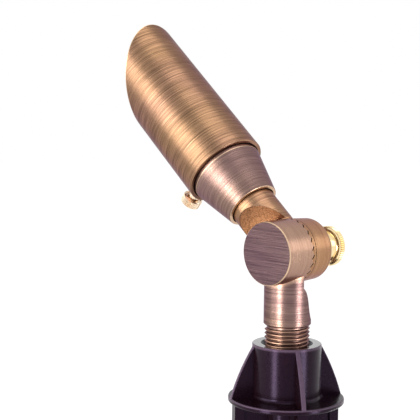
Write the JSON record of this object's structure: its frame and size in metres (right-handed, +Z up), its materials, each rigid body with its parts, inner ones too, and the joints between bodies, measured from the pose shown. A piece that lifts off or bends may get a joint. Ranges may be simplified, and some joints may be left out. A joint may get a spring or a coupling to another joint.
{
  "type": "garden spike spotlight",
  "caption": "Low-voltage garden spotlight: slant-cut brass shroud and tapered lamp housing on a toothed tilting knuckle, screwed into a moulded ground spike.",
  "frame": {"origin": "centre of the underside of the ground spike's flange, at ground level", "axes": "+Z up, along the stem; X along the knuckle's pivot, with the tension knob at +X; the head leans up and towards +Y"},
  "size_m": [0.057, 0.1222, 0.3664],
  "materials": {
    "antique_brass": "brushed, chemically browned",
    "polished_brass": "polished",
    "spike_plastic": "moulded, glossy dark brown",
    "black_rubber": "matte",
    "steel": "plain",
    "reflector": "faceted, polished",
    "ceramic": "matte",
    "clear_glass": "clear",
    "silicone": "matte",
    "lead_sleeve": "braided sleeve"
  },
  "bodies": {
    "spike": {"ground_spike": "spike_plastic"},
    "stem": {"stem_casting": "antique_brass", "wire_gland": "black_rubber", "knuckle_seal": "black_rubber"},
    "release": {"tension_washer": "steel"},
    "knob": {"tension_knob": "polished_brass", "tension_bolt": "steel"},
    "arm": {"arm_casting": "antique_brass", "arm_seal": "black_rubber", "knob_seal": "black_rubber", "housing": "antique_brass", "lock_nut": "polished_brass", "shroud_seal": "black_rubber", "lamp_reflector": "reflector", "lamp_foot": "ceramic", "lamp_capsule": "clear_glass", "lamp_pins": "steel", "lampholder": "ceramic", "lampholder_leads": "lead_sleeve", "lead_splices": "steel"},
    "lens": {"lens_gasket": "silicone", "lens_glass": "clear_glass"},
    "shroud": {"shroud": "antique_brass"},
    "thumbscrew_shank": {"thumbscrew_shank": "polished_brass"},
    "thumbscrew_head": {"thumbscrew_head": "polished_brass"}
  },
  "joints": [
    {"name": "stem_aim", "type": "hinge", "parent": "spike", "child": "stem", "pos_m": [0, 0, 0], "axis": [0, 0, 1], "continuous": true},
    {"name": "knuckle_release", "type": "slide", "parent": "stem", "child": "release", "axis": [1, 0, 0], "range_m": [0, 0.0016]},
    {"name": "arm_tilt", "type": "hinge", "parent": "release", "child": "arm", "pos_m": [0, 0, 0.0702], "axis": [1, 0, 0], "range_deg": [-45, 135]},
    {"name": "tension_knob_turn", "type": "hinge", "parent": "release", "child": "knob", "pos_m": [0, 0, 0.0702], "axis": [1, 0, 0], "range_deg": [0, 461]},
    {"name": "shroud_slide", "type": "slide", "parent": "arm", "child": "lens", "axis": [0, 0.766, 0.6428], "range_m": [0, 0.01]},
    {"name": "shroud_turn", "type": "hinge", "parent": "lens", "child": "shroud", "pos_m": [0, 0.08427, 0.14091], "axis": [0, 0.766, 0.6428], "continuous": true},
    {"name": "thumbscrew_turn", "type": "hinge", "parent": "thumbscrew_shank", "child": "thumbscrew_head", "pos_m": [0, 0.0475, 0.11005], "axis": [0, 0.6428, -0.766], "range_deg": [0, 1543]},
    {"name": "thumbscrew_draw", "type": "slide", "parent": "shroud", "child": "thumbscrew_shank", "axis": [0, 0.6428, -0.766], "range_m": [0, 0.003]}
  ],
  "couplings": [
    {"joint": "tension_knob_turn", "follows": "knuckle_release", "rad_per_m": 5026.5},
    {"joint": "thumbscrew_turn", "follows": "thumbscrew_draw", "rad_per_m": 8976}
  ]
}
